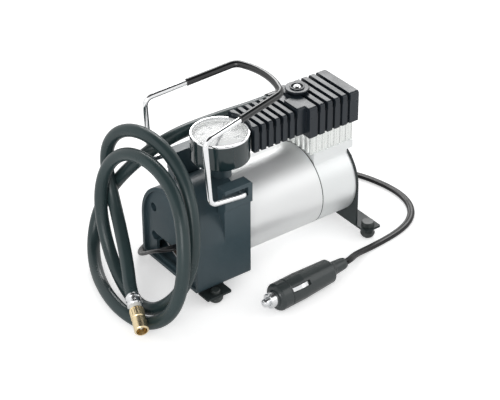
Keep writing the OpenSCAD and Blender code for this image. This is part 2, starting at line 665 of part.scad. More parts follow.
module end_housing() color([0.16, 0.18, 0.2]) difference() {
    union() {
        difference() {
            union() {
                lengthwise(end_x, housing_l) tombstone(housing_r, housing_z, corner_r);
                both_sides() ear();
                // post under the gauge
                translate([gauge_x, 0, axis_h + motor_r + 1])
                    linear_extrude(gauge_z - axis_h - motor_r - 1) circle(r = 8);
            }
            lengthwise(end_x - 1, rim_depth + 1)
                tombstone(housing_r - housing_wall, housing_z + housing_wall, 1);
            lengthwise(wall_x + wall_t, housing_l) {
                tombstone(motor_r + run_gap, housing_z + housing_wall, 1);
                translate([0, axis_h]) circle(r = motor_r + run_gap, $fn = 96);
            }
        }
        for (p = adapter_places) along_x(wall_x + 1, wall_x + socket_l + 1.4, socket_d / 2 + 1.4, p[0], p[1]);
        both_sides() for (x = [end_x + 16, joint_x - 10]) saddle_rib(x);
    }
    for (p = adapter_places) along_x(wall_x - 1, wall_x + socket_l, socket_d / 2, p[0], p[1]);
    // opening at the foot of the end wall
    translate([wall_x - 1, -20, housing_z + 4.6]) cube([wall_t + 2, 40, 17]);
    along_x(wall_x - 1, wall_x + wall_t + 1, 4, grommet_y, grommet_z);
    // switch cut-out in the far side
    translate([switch_x - 6.7, housing_r - 5, switch_z - 4.4]) cube([13.4, 7, 8.8]);
    // slots and holes that hold the handle wire
    both_sides() {
        translate([ear_x0 - 1, ear_y - 3.2, pivot_z - wire_r - 0.4]) cube([ear_l - 2.6, 5, slot_h]);
        along_y(ear_y - wire_in - 0.6, ear_y, wire_r + 0.15, pivot_x, pivot_z);
    }
}
adapter_places = [[22.5, 52.7], [22.5, 28.3]];
grommet_y = -16;
grommet_z = 42;

module cord_grommet() color([0.1, 0.1, 0.1]) {
    along_x(wall_x - 0.1, wall_x + wall_t, 3.9, grommet_y, grommet_z);
    along_x(wall_x + wall_t, wall_x + wall_t + 1.4, 5, grommet_y, grommet_z);
    turned_x(cord_x0, [[0, 0], [0, 4], [wall_x - cord_x0 - 1, 5], [wall_x - cord_x0 - 0.1, 5],
        [wall_x - cord_x0 - 0.1, 0]], grommet_y, grommet_z);
}
cord_x0 = end_x;

module switch_frame() color([0.08, 0.08, 0.08]) translate([switch_x, housing_r, switch_z]) difference() {
    union() {
        translate([-7.5, 0.05, -5.3]) cube([15, 1.6, 10.6]);
        translate([-6.6, -9, -4.3]) cube([13.2, 9.1, 8.6]);
    }
    translate([-5.6, -5.4, -3.3]) cube([11.2, 9, 6.6]);
    translate([0, -rocker_sink, 0]) along_z_cylinder(rocker_pin_r + run_gap, 4.1);
}

// Rocker: a shallow V that turns on a pin across its middle; at rest its left end is pressed in
rocker_tilt = 12;
rocker_pin_r = 1;
module switch_rocker() color([0.75, 0.08, 0.06])
    translate([switch_x, housing_r - rocker_sink, switch_z]) rotate([0, 0, -rocker_tilt]) {
        intersection() {
            translate([0, 0, -3]) linear_extrude(6)
                polygon([[-4.9, -1.6], [4.9, -1.6], [4.9, 2.3], [0, 1.2], [-4.9, 2.3]]);
            translate([0, -1.6, 0]) along_z_cylinder(5.2, 6);
        }
        along_z_cylinder(rocker_pin_r, 4);
    }
rocker_sink = 0.4;
module along_z_cylinder(r, h) translate([0, 0, -h]) linear_extrude(2 * h) circle(r = r);

// ---------- gauge ----------
module gauge_case() color([0.06, 0.06, 0.07]) difference() {
    translate([gauge_x, 0, gauge_z]) rotate_extrude($fn = 96) polygon([[0, 0], [gauge_r - 0.8, 0],
        [gauge_r - 0.2, 0.3], [gauge_r, 0.9], [gauge_r, gauge_h - bezel_h], [gauge_r - 1.4, gauge_h - bezel_h],
        [gauge_r - 1.4, 2], [0, 2]]);
    along_x(gauge_x, gauge_x + gauge_r + 2, pipe_r, 0, pipe_z);
}

// Thin ring pressed on the can's rim; its lip holds the lens down
bezel_h = 1.4;
module gauge_bezel() color([0.85, 0.86, 0.88]) translate([gauge_x, 0, gauge_top - bezel_h])
    rotate_extrude($fn = 96) polygon([[gauge_r - 1.4, 0], [gauge_r, 0], [gauge_r, bezel_h - 0.4], [gauge_r - 0.4, bezel_h],
        [gauge_r - 1.1, bezel_h], [gauge_r - 1.4, bezel_h - 0.2]]);

dial_z = gauge_top - 4;
module gauge_dial() color("white") translate([gauge_x, 0, dial_z]) difference() {
    linear_extrude(0.6) circle(r = gauge_r - 1.5, $fn = 96);
    translate([0, 0, -1]) linear_extrude(3) circle(r = 1.3);
}

module gauge_movement() color([0.75, 0.65, 0.35]) {
    translate([gauge_x - 6, -5, gauge_z + 2]) cube([12, 10, 3]);
    translate([gauge_x, 0, gauge_z + 2]) linear_extrude(dial_z - gauge_z - 2) circle(r = 2.2);
    translate([gauge_x + 4, -1.5, gauge_z + 3]) cube([gauge_r - 7.2, 3, pipe_z - gauge_z - 3 + pipe_r]);
}

needle_turn = 90 + gauge_sweep / 2;         // compass direction of the needle at zero pressure
module gauge_needle() color([0.8, 0.1, 0.08]) translate([gauge_x, 0, dial_z + 1]) {
    linear_extrude(1) circle(r = 2);
    translate([0, 0, -1.2 + slip]) linear_extrude(1.2) circle(r = 1);
    rotate([0, 0, needle_turn]) linear_extrude(0.5)
        polygon([[-5, -1], [0, -0.9], [gauge_r - 5, -0.25], [gauge_r - 5, 0.25], [0, 0.9], [-5, 1]]);
}

module gauge_lens() color([0.85, 0.9, 0.95, 0.35]) translate([gauge_x, 0, gauge_top - bezel_h])
    linear_extrude(bezel_h - 0.3) circle(r = gauge_r - 1.4 - run_gap, $fn = 96);

// ---------- handle ----------
// The wire's half, from the middle of the crossbar to its end in the ear; the other half mirrors it
corner_x = joint_x + handle_reach;
corner_y = handle_w / 2;
shoulder = [joint_x - housing_l * 0.84, ear_y + 0.5, handle_top - 9.2];
heel = [joint_x - housing_l * 0.772, wire_y, pivot_z + 2.8];
bend_r = 6;
wire_in = 6.4;                              // how far the wire's end goes into the ear

// Rounds a corner of a path with an arc of radius r, in steps
function arc_corner(a, b, c, r, steps) =
    let (u = unit(a - b), v = unit(c - b), half = acos(u * v) / 2, w = unit(u + v), m = b + w * (r / sin(half)),
        s = unit(-w), q = unit(v - (v * s) * s), span = 90 - half)
    [for (i = [-steps : steps]) m + r * (s * cos(span * i / steps) + q * sin(span * i / steps))];

handle_near = [[pivot_x, -(ear_y - wire_in), pivot_z], [pivot_x, -wire_y, pivot_z],
    [heel[0], -heel[1], heel[2]], [shoulder[0], -shoulder[1], shoulder[2]], [corner_x, -corner_y, handle_top]];
handle_points = concat(handle_near, [for (i = [len(handle_near) - 1 : -1 : 0])
    [handle_near[i][0], -handle_near[i][1], handle_near[i][2]]]);
handle_bends = [0, 2.6, bend_r, bend_r, 8, 8, bend_r, bend_r, 2.6, 0];
function rounded(p, r, steps) = [for (i = [0 : len(p) - 1]) each (i == 0 || i == len(p) - 1) ? [p[i]] :
    arc_corner(p[i - 1], p[i], p[i + 1], r[i], steps)];
handle_path = rounded(handle_points, handle_bends, 3);

module handle_wire() color([0.85, 0.86, 0.88]) round_tube(handle_path, wire_r, [0, 0, 1], 12);

// The sleeve covers the crossbar and the arms up to this share of their length
grip_share = 0.45;
grip_end = shoulder * (1 - grip_share) + [corner_x, corner_y, handle_top] * grip_share;
grip_points = [[grip_end[0], -grip_end[1], grip_end[2]], [corner_x, -corner_y, handle_top],
    [corner_x, corner_y, handle_top], grip_end];
module grip_sleeve() color([0.08, 0.08, 0.09])
    round_sleeve(rounded(grip_points, [0, 8, 8, 0], 4), grip_d / 2, wire_r + 0.15, [0, 0, 1], 12);

// ---------- brackets and feet ----------
rear_plate_r = motor_r + 1;
module rear_bracket() color([0.1, 0.1, 0.11]) difference() {
    union() {
        lengthwise(case_x, plate_t) {
            translate([0, axis_h]) circle(r = rear_plate_r, $fn = 96);
            translate([-rear_plate_r, flange_z - plate_t])
                square([2 * rear_plate_r, axis_h - flange_z + plate_t]);
        }
        translate([case_x + (plate_t + flange_l) / 2, 0, flange_z - plate_t])
            linear_extrude(plate_t) round_rect(plate_t + flange_l, flange_w, 1);
    }
    for (s = [-1, 1]) translate([rear_foot_x, s * rear_foot_y, 0])
        linear_extrude(20) circle(r = foot_neck_r + seat_gap);
    for (a = [45, 135, 225, 315]) rotate_about_axis(a) along_x(case_x - 1, plate_x + 1, 1.8, motor_r - 3.4, 0);
}

module bracket_screws() color([0.75, 0.76, 0.78]) for (a = [45, 135, 225, 315]) rotate_about_axis(a)
    translate([plate_x, motor_r - 3.4, 0]) rotate([0, 90, 0]) {
        pan_head(3, 2.2);
        translate([0, 0, -plate_t - 7]) linear_extrude(plate_t + 7.5) circle(r = 1.45);
    }

module front_bracket() color([0.1, 0.1, 0.11]) difference() {
    translate([front_foot_x + 0.5, 0, 0]) {
        translate([-bracket_l / 2, -bracket_in - plate_t, housing_z - plate_t])
            cube([bracket_l, 2 * (bracket_in + plate_t), plate_t]);
        both_sides() {
            translate([-bracket_l / 2, bracket_in, tab_z - plate_t])
                cube([bracket_l, plate_t, housing_z - tab_z + plate_t]);
            translate([-bracket_l / 2, bracket_in, tab_z - plate_t])
                cube([bracket_l, bracket_half - bracket_in - 1, plate_t]);
            translate([-bracket_l / 2 + 1, bracket_in, tab_z - plate_t])
                cube([bracket_l - 2, bracket_half - bracket_in, plate_t]);
            for (s = [-1, 1]) translate([s * (bracket_l / 2 - 1), bracket_half - 1, tab_z - plate_t])
                linear_extrude(plate_t) circle(r = 1);
        }
    }
    for (s = [-1, 1]) translate([front_foot_x, s * front_foot_y, 0])
        linear_extrude(9) circle(r = foot_neck_r + seat_gap);
}

// A rubber foot pushed through a plate whose top is at z: a ribbed bulb below, a cap above
module foot(z, cap_r, cap_h) rotate_extrude(convexity = 4) polygon([[0, 0], [foot_d / 2 - 2.4, 0],
    [foot_d / 2 - 1, 1.2], [foot_d / 2 - 0.1, 2.8], [foot_d / 2, 3.8], [foot_d / 2 - 0.7, 4.6],
    [foot_d / 2 - 0.9, z - plate_t - 1], [foot_d / 2 - 0.5, z - plate_t - 0.5], [foot_d / 2 - 0.5, z - plate_t],
    [foot_neck_r, z - plate_t], [foot_neck_r, z], [cap_r, z], [cap_r, z + cap_h - 0.7],
    [cap_r - 0.7, z + cap_h], [0, z + cap_h]]);

module rear_feet() color([0.07, 0.07, 0.08]) for (s = [-1, 1])
    translate([rear_foot_x, s * rear_foot_y, 0]) foot(flange_z, 4.9, 4);

module front_feet() color([0.07, 0.07, 0.08]) for (s = [-1, 1])
    translate([front_foot_x, s * front_foot_y, 0]) foot(tab_z, 3.6, 2.6);

// ---------- air hose and valve chuck ----------
hose_route = [
    [30, 29.5, 100], [19, 29.5, 100], [-6, 29.5, 101], [-31, 29, 102], [-52, 29, 101], [-67, 29, 98],
    [-80, 34, 88.5], [-87, 49, 69], [-92, 63, 48], [-99, 67, 29], [-107, 60, 14], [-118, 41, 5],
    [-126, 17, 5], [-130, -5, 5], [-129, -22, 5], [-126, -36, 5.5], [-121, -48, 13], [-116, -57, 25],
    [-112, -60, 40], [-107, -58, 57], [-103, -51, 75], [-98, -42, 88], [-94, -28, 99], [-93, -6, 106],
    [-95, 11, 106], [-97, 28, 102], [-100, 42, 89], [-104, 48, 71], [-107, 47, 53], [-109, 39, 32],
    [-112, 25, 16], [-115, 4, 6.5], [-116, -14, 5], [-115, -29, 9], [-110, -42, 20], [-102, -50, 34],
    [-96, -51, 50], [-91, -47, 68], [-87, -39, 83], [-83, -28, 97], [-81, -14, 108], [-82, 8, 116],
    [-85, 31, 116], [-90, 47, 107], [-93, 56, 92], [-95, 56, 76], [-96, 47, 58], [-102, 31, 43],
    [-110, 12, 33], [-117, -3, 25.5], [-121.7, -11.9, 20.5], [-125, -20, 18.5]];
hose_end = hose_route[len(hose_route) - 1];
chuck_way = unit(hose_end - hose_route[len(hose_route) - 2]);
chuck_turn = atan2(chuck_way[1], chuck_way[0]);
chuck_dip = asin(-chuck_way[2]);
module air_hose() color([0.18, 0.22, 0.22])
    round_tube([for (p = hose_route) [p[0], p[1], max(p[2], hose_d / 2)]], hose_d / 2, [0, 0, 1], 10);

// Places its children with +X along the chuck's axis, from the hose's end
module at_chuck() translate(hose_end) rotate([0, chuck_dip, chuck_turn]) children();

ferrule_l = 9;
collar_l = 2.5;
module hose_ferrule() at_chuck() color([0.8, 0.81, 0.83]) turned_x(0, [[0, 0], [0, hose_d / 2 + 0.4],
    [1, hose_d / 2 + 0.8], [2.5, hose_d / 2 + 0.8], [3.3, hose_d / 2 + 0.3], [5.7, hose_d / 2 + 0.3],
    [6.5, hose_d / 2 + 0.8], [ferrule_l - 0.8, hose_d / 2 + 0.8], [ferrule_l, hose_d / 2], [ferrule_l, 0]], 0, 0);

stem_r = 2.6;
module chuck_stem() at_chuck() color([0.9, 0.89, 0.84]) difference() {
    turned_x(ferrule_l, [[0, 0], [0, 4.4], [collar_l - 0.4, 4.4], [collar_l, 4], [collar_l, stem_r],
        [collar_l + chuck_l - 9, stem_r], [collar_l + chuck_l - 9, 1], [collar_l + chuck_l - 8, 1],
        [collar_l + chuck_l - 8, 0]], 0, 0);
}

thread_r = 3.9;
module chuck_nut() at_chuck() color([0.8, 0.62, 0.3]) difference() {
    turned_x(ferrule_l + collar_l + slip, [[0, stem_r + run_gap], [0, chuck_d / 2 - 0.8], [0.8, chuck_d / 2],
        [chuck_l * 0.42, chuck_d / 2], [chuck_l * 0.42 + 0.6, chuck_d / 2 - 0.6], [chuck_l * 0.55, chuck_d / 2 - 0.6],
        [chuck_l * 0.55 + 0.6, chuck_d / 2], [chuck_l - 0.6, chuck_d / 2], [chuck_l, chuck_d / 2 - 0.5],
        [chuck_l, thread_r], [chuck_l - 8, thread_r], [chuck_l - 8, stem_r + run_gap]], 0, 0);
    for (i = [0 : 15]) rotate([360 * i / 16, 0, 0])
        translate([ferrule_l + collar_l + slip + 1.6, 0, chuck_d / 2 + 0.35])
            rotate([0, 90, 0]) linear_extrude(chuck_l * 0.3) circle(r = 0.6);
}

// ---------- power cord and car plug ----------
cord_route = [
    [-80.15, -16, 42], [-85.5, -16, 42], [-90.5, -13.5, 41], [-93, -7.5, 37.5], [-93, 0, 32.5], [-91.5, 9, 26],
    [-89.5, 18.5, 19], [-87, 28, 11.5], [-83, 37, 6], [-77, 44, 3], [-67, 49, 1.6], [-52, 52, 1.6],
    [-36, 53, 1.6], [-16, 53, 1.6], [5, 53, 1.6], [26, 53, 1.6], [47, 53, 1.6], [68, 53, 1.6],
    [84, 52, 1.6], [98, 49, 1.6], [109, 43, 1.6], [117, 33.5, 1.6], [122, 21.5, 1.6], [125.5, 10, 1.6],
    [127.5, -2, 1.6], [127.5, -13, 1.6], [125, -24.5, 1.6], [119, -35, 1.6], [110, -43.5, 1.6], [98, -49, 1.6],
    [85, -51.5, 1.6], [72, -53, 1.6], [63, -54.4, 1.9], [56, -55.5, 2.9], [49, -57.2, 4.3],
    [43, -59.9, 6.2], [37.9, -63.2, 8.4], [33.6, -66, 10.1], boot_end + 3 * [cos(plug_turn), sin(plug_turn), 0],
    boot_end];
cord_path = [for (q = cord_route) [q[0], q[1], max(q[2], cord_t / 2)]];
module power_cord() color([0.07, 0.07, 0.08])
    swept(cord_path, level(directions(cord_path)), cord_w / 2, cord_t / 2, 8);

// Places its children with +X along the plug's axis, from its joint line towards the cord
module at_plug() translate(plug_seam) rotate([0, 0, plug_turn]) rotate([-plug_roll, 0, 0]) children();

module plug_boot() at_plug() color([0.08, 0.08, 0.09])
    turned_x(plug_l, [[0, 0], [0, 6.4], [1.4, 6.4], [2.2, 5.6], [3.2, 5.5], [4, 5.2], [boot_l - 2, 4.5],
        [boot_l, 3.9], [boot_l, 0]], 0, 0);

contact_u = 8.75;                           // middle of a contact, from the joint line
contact_half = 8;
contact_w = 2.9;
strip_t = 0.8;
crown = 0.9;                                // how far a contact stands proud of the body
crown_r = 12.7;                             // outer radius of its bow
slot_floor = plug_r + crown - crown_r + sqrt(crown_r * crown_r - contact_half * contact_half)
    - strip_t - contact_travel - slip;

module plug_body() at_plug() color([0.1, 0.1, 0.11]) difference() {
    turned_x(0, [[0, 0], [0, plug_r - 0.5], [0.5, plug_r], [plug_l * 0.3, plug_r], [plug_l - 1.2, plug_r - 1.4],
        [plug_l, plug_r - 2.4], [plug_l, 0]], 0, 0);
    for (s = [-1, 1]) translate([contact_u - contact_half - slip, s > 0 ? slot_floor : -slot_floor - plug_r,
        -contact_w / 2 - slip]) cube([2 * (contact_half + slip), plug_r, contact_w + 2 * slip]);
    along_x(-1, plug_l * 0.6, fuse_r + 0.3, 0, 0);
}

// A bowed strip of sprung steel; it slides into its slot when the plug is pushed in
module plug_contact(s) at_plug() color([0.85, 0.85, 0.87]) translate([contact_u, 0, 0]) intersection() {
    translate([-contact_half, s > 0 ? 0 : -2 * plug_r, -contact_w / 2])
        cube([2 * contact_half, 2 * plug_r, contact_w]);
    translate([0, s * (plug_r + crown - crown_r), 0]) difference() {
        along_z_cylinder(crown_r, contact_w);
        along_z_cylinder(crown_r - strip_t, contact_w + 1);
    }
}
module plug_contact_near() plug_contact(-1);
module plug_contact_far() plug_contact(1);

// Black screw-on cap with a stepped end
nose_l = 11;
nose_bore_r = 5;
module plug_nose() at_plug() color([0.06, 0.06, 0.07]) difference() {
    turned_x(-nose_l, [[0, 0], [0, 5.9], [0.4, 6.3], [1.2, 6.4], [1.4, 8.6], [2, 9.7], [3.2, plug_r],
        [nose_l - 0.5, plug_r], [nose_l, plug_r - 0.5], [nose_l, 0]], 0, 0);
    along_x(-nose_l - 1, 1, nose_bore_r, 0, 0);
}

// Steel collar pressed into the cap; the tip slides in it
tip_r = 3.1;
collar_out = 5;                             // how far the collar stands out of the cap
module plug_collar() at_plug() color([0.8, 0.81, 0.83]) difference() {
    turned_x(-nose_l - collar_out, [[0, 0], [0, 4.9], [0.6, 5.6], [collar_out, 5.6],
        [collar_out, nose_bore_r - run_gap], [collar_out + 6, nose_bore_r - run_gap], [collar_out + 6, 0]], 0, 0);
    along_x(-nose_l - collar_out - 1, 0, tip_r + seat_gap, 0, 0);
}

tip_out = 5;                                // how far the tip stands out of the collar
tip_back = -6;                              // its inner end, from the joint line
tip_l = nose_l + collar_out + tip_out + tip_back;
module plug_tip() at_plug() color([0.85, 0.86, 0.88])
    turned_x(tip_back - tip_l, [[0, 0], [0.1, 1.5], [0.9, 2.7], [2.4, tip_r], [tip_l, tip_r], [tip_l, 0]], 0, 0);

fuse_r = 3.1;
module plug_fuse() at_plug() color([0.8, 0.85, 0.88])
    along_x(tip_back + tip_travel + slip, plug_l * 0.55, fuse_r, 0, 0);

motor_tube();
field_magnets();
brush_plate();
brushes();
rear_bush();
front_bearing();
motor_shaft();
armature_core();
armature_windings();
commutator();
crank_disc();
crank_grub_screw();
crankcase();
cylinder_block();
valve_plate();
valve_reeds();
cylinder_head();
head_screws();
connecting_rod();
rod_bearing();
crank_pin();
piston_seal();
seal_retainer();
retainer_screw();
ribbed_cover();
cover_washer();
cover_screw();
air_pipe();
outlet_elbow();
end_housing();
gauge_case();
gauge_bezel();
gauge_dial();
gauge_movement();
gauge_needle();
gauge_lens();
handle_wire();
grip_sleeve();
switch_frame();
switch_rocker();
cord_grommet();
rear_bracket();
bracket_screws();
front_bracket();
rear_feet();
front_feet();
air_hose();
hose_ferrule();
chuck_stem();
chuck_nut();
power_cord();
plug_boot();
plug_body();
plug_nose();
plug_collar();
plug_tip();
plug_contact_near();
plug_contact_far();
plug_fuse();
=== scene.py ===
"""A portable 12 V tyre inflator, dressed piece by piece in the order it is put together."""
import bpy
import numpy as np
from mathutils import Matrix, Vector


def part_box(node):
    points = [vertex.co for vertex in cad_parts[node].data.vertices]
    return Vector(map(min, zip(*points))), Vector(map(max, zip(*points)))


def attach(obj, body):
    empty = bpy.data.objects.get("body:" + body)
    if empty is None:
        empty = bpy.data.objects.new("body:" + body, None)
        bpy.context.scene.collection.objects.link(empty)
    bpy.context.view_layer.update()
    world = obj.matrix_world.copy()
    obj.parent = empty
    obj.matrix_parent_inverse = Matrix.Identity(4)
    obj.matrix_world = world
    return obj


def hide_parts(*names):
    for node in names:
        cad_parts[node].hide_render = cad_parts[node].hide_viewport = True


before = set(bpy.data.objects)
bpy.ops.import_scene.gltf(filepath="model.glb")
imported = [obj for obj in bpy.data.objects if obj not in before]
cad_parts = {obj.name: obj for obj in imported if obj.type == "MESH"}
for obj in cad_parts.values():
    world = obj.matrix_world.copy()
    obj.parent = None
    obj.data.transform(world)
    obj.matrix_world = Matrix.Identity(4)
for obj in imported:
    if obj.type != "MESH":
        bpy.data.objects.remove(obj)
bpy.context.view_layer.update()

# Camera. It stands a little over a metre away, in front of the gauge end and above it, and looks
# down at the middle of the motor through a long lens, so the body shows almost without perspective.
turn, tip, roll = np.radians([-36.29, 33.26, -0.24])
look_at = np.array([-0.02365, 0.0, 0.060])
distance, aside, below = 1.26396, 0.01232, 0.00897
look_back = np.array([np.sin(turn) * np.cos(tip), -np.cos(turn) * np.cos(tip), np.sin(tip)])
level = np.array([np.cos(turn), np.sin(turn), 0.0])
upright = np.cross(look_back, level)
picture_right = level * np.cos(roll) + upright * np.sin(roll)
picture_up = upright * np.cos(roll) - level * np.sin(roll)
eye = look_at + look_back * distance + picture_right * aside - picture_up * below


def add(name, data):
    """A new object in the scene that holds the data."""
    made = bpy.data.objects.new(name, data)
    bpy.context.scene.collection.objects.link(made)
    return made


def stand(thing, right, up, back, place):
    """Places a camera or a lamp: the columns of its matrix are its right, its up, its back and the place."""
    thing.matrix_world = Matrix([*np.column_stack([right, up, back, place]).tolist(), [0, 0, 0, 1]])


camera = add("camera", bpy.data.cameras.new("camera"))
camera.data.sensor_width = 36.0
camera.data.lens = 126.03
camera.data.clip_start = 0.05
camera.data.clip_end = 20.0
stand(camera, picture_right, picture_up, look_back, eye)
bpy.context.scene.camera = camera

# Air hose. About a metre of 9.6 mm rubber hose, black with a slight green cast. It leaves the outlet
# elbow behind the narrow cover, winds round in two standing loops by the gauge end, and comes back
# over them to its chuck, where a waxy white pin stands ready to open the tyre's valve.
hose_diameter = 0.0096
hose_points = np.array([
    [30, 29.5, 100], [19, 29.5, 100], [-6, 29.5, 101], [-31, 29, 102], [-52, 29, 101], [-67, 29, 98],
    [-80, 34, 88.5], [-87, 49, 69], [-92, 63, 48], [-99, 67, 29], [-107, 60, 14], [-118, 41, 5],
    [-126, 17, 5], [-130, -5, 5], [-129, -22, 5], [-126, -36, 5.5], [-121, -48, 13], [-116, -57, 25],
    [-112, -60, 40], [-107, -58, 57], [-103, -51, 75], [-98, -42, 88], [-94, -28, 99], [-93, -6, 106],
    [-95, 11, 106], [-97, 28, 102], [-100, 42, 89], [-104, 48, 71], [-107, 47, 53], [-109, 39, 32],
    [-112, 25, 16], [-115, 4, 6.5], [-116, -14, 5], [-115, -29, 9], [-110, -42, 20], [-102, -50, 34],
    [-96, -51, 50], [-91, -47, 68], [-87, -39, 83], [-83, -28, 97], [-81, -14, 108], [-82, 8, 116],
    [-85, 31, 116], [-90, 47, 107], [-93, 56, 92], [-95, 56, 76], [-96, 47, 58], [-102, 31, 43],
    [-110, 12, 33], [-117, -3, 25.5], [-121.7, -11.9, 20.5], [-125, -20, 18.5]]) * 0.001


def evened(points, step):
    """Points a step apart along the straight pieces between the given ones, and their whole length."""
    along = np.concatenate([[0], np.cumsum(np.linalg.norm(np.diff(points, axis=0), axis=1))])
    even = np.linspace(0, along[-1], int(round(along[-1] / step)) + 1)
    return np.column_stack([np.interp(even, along, points[:, k]) for k in range(3)]), along[-1]


def smooth_route(points, lowest, step=0.0025, soft=0.2):
    """Even points along a springy curve close to the given ones, never under the lowest height.

    First the points settle: the sum of the squares of their moves plus soft times the squares of their
    third differences is least, with both ends held. Then a natural cubic runs through them: between two
    neighbours p and q a gap d apart it is a p + b q + ((a^3 - a) m + (b^3 - b) n) d^2 / 6, where b is
    the share of the gap already covered, a is the share still to go, and the bends m and n make the
    slope even at every point.
    """
    count = len(points)
    hold, places_each = 1e4, 80
    held = np.eye(count)
    held[[0, 1, -2, -1], [0, 1, -2, -1]] = hold
    third = np.diff(np.eye(count), 3, axis=0)
    spots = np.linalg.solve(held + soft * third.T @ third, held @ points)
    gap = np.linalg.norm(np.diff(spots, axis=0), axis=1)
    slope = np.diff(spots, axis=0) / gap[:, None]
    stiff = np.eye(count)
    inner = np.arange(1, count - 1)
    stiff[inner, inner - 1] = gap[:-1]
    stiff[inner, inner] = 2 * (gap[:-1] + gap[1:])
    stiff[inner, inner + 1] = gap[1:]
    bends = np.linalg.solve(stiff, np.vstack([np.zeros(3), 6 * np.diff(slope, axis=0), np.zeros(3)]))
    mark = np.concatenate([[0], np.cumsum(gap)])
    where = np.linspace(0, mark[-1], places_each * count)
    span = np.clip(np.searchsorted(mark, where, side="right") - 1, 0, count - 2)
    d = gap[span][:, None]
    a, b = (mark[span + 1] - where)[:, None] / d, (where - mark[span])[:, None] / d
    bulge = (a ** 3 - a) * bends[span] + (b ** 3 - b) * bends[span + 1]
    fine = a * spots[span] + b * spots[span + 1] + bulge * d ** 2 / 6
    fine[:, 2] = np.maximum(fine[:, 2], lowest)
    return evened(fine, step)


def headings(points):
    """Unit direction at each point of a path: the way from its neighbour before to its neighbour after."""
    way = np.gradient(points, axis=0)
    return way / np.linalg.norm(way, axis=1)[:, None]


def unit_rows(vectors):
    """Each row divided by its length."""
    return vectors / np.linalg.norm(vectors, axis=1)[:, None]


def circle(count, closed=False):
    """Even points round a circle of radius 1: the cosine and the sine of the turn.

    A closed circle ends on the point where it began.
    """
    round_turn = np.linspace(0, 2 * np.pi, count, endpoint=closed)
    return np.column_stack([np.cos(round_turn), np.sin(round_turn)])


def run_along(name, path, side, profile, swell=1.0):
    """A tube: the profile's (across, up) points carried along the path.

    Each ring is the path point plus across times the side direction plus up times the direction square
    to both, the two multiplied by the swell at that point. Four-cornered faces join the rings, and a fan
    about its middle shuts each end. The UV map's U goes once round the profile, and its V is the length
    in units of the profile's round.
    """
    way = headings(path)
    side = unit_rows(side - way * np.sum(side * way, axis=1)[:, None])
    up = np.cross(way, side)
    sized = np.broadcast_to(swell, len(path))[:, None, None] * profile
    rings = path[:, None, :] + sized[:, :, :1] * side[:, None, :] + sized[:, :, 1:] * up[:, None, :]
    count, around = len(path), len(profile)
    i, k = np.meshgrid(np.arange(count - 1), np.arange(around), indexing="ij")
    after = (k + 1) % around
    quads = np.stack([i * around + k, i * around + after, (i + 1) * around + after, (i + 1) * around + k], -1)
    here = np.arange(around)
    there = (here + 1) % around
    last = (count - 1) * around
    nose = np.stack([np.full(around, count * around), there, here], -1)
    tail = np.stack([np.full(around, count * around + 1), last + here, last + there], -1)
    faces = quads.reshape(-1, 4).tolist() + nose.tolist() + tail.tolist()
    once_round = np.sum(np.linalg.norm(np.diff(np.vstack([profile, profile[:1]]), axis=0), axis=1))
    v = np.concatenate([[0], np.cumsum(np.linalg.norm(np.diff(path, axis=0), axis=1))]) / once_round
    u, u_after = k / around, (k + 1) / around
    uv = np.stack([np.stack([u, v[i]], -1), np.stack([u_after, v[i]], -1),
                   np.stack([u_after, v[i + 1]], -1), np.stack([u, v[i + 1]], -1)], 2).reshape(-1, 2)
    uv = np.vstack([uv, np.zeros((6 * around, 2))])
    mesh = bpy.data.meshes.new(name)
    mesh.from_pydata(np.vstack([rings.reshape(-1, 3), path[0], path[-1]]).tolist(), [], faces)
    mesh.polygons.foreach_set("use_smooth", np.ones(len(faces), dtype=bool))
    mesh.uv_layers.new(name="run").data.foreach_set("uv", uv.ravel())
    mesh.update()
    return add(name, mesh)


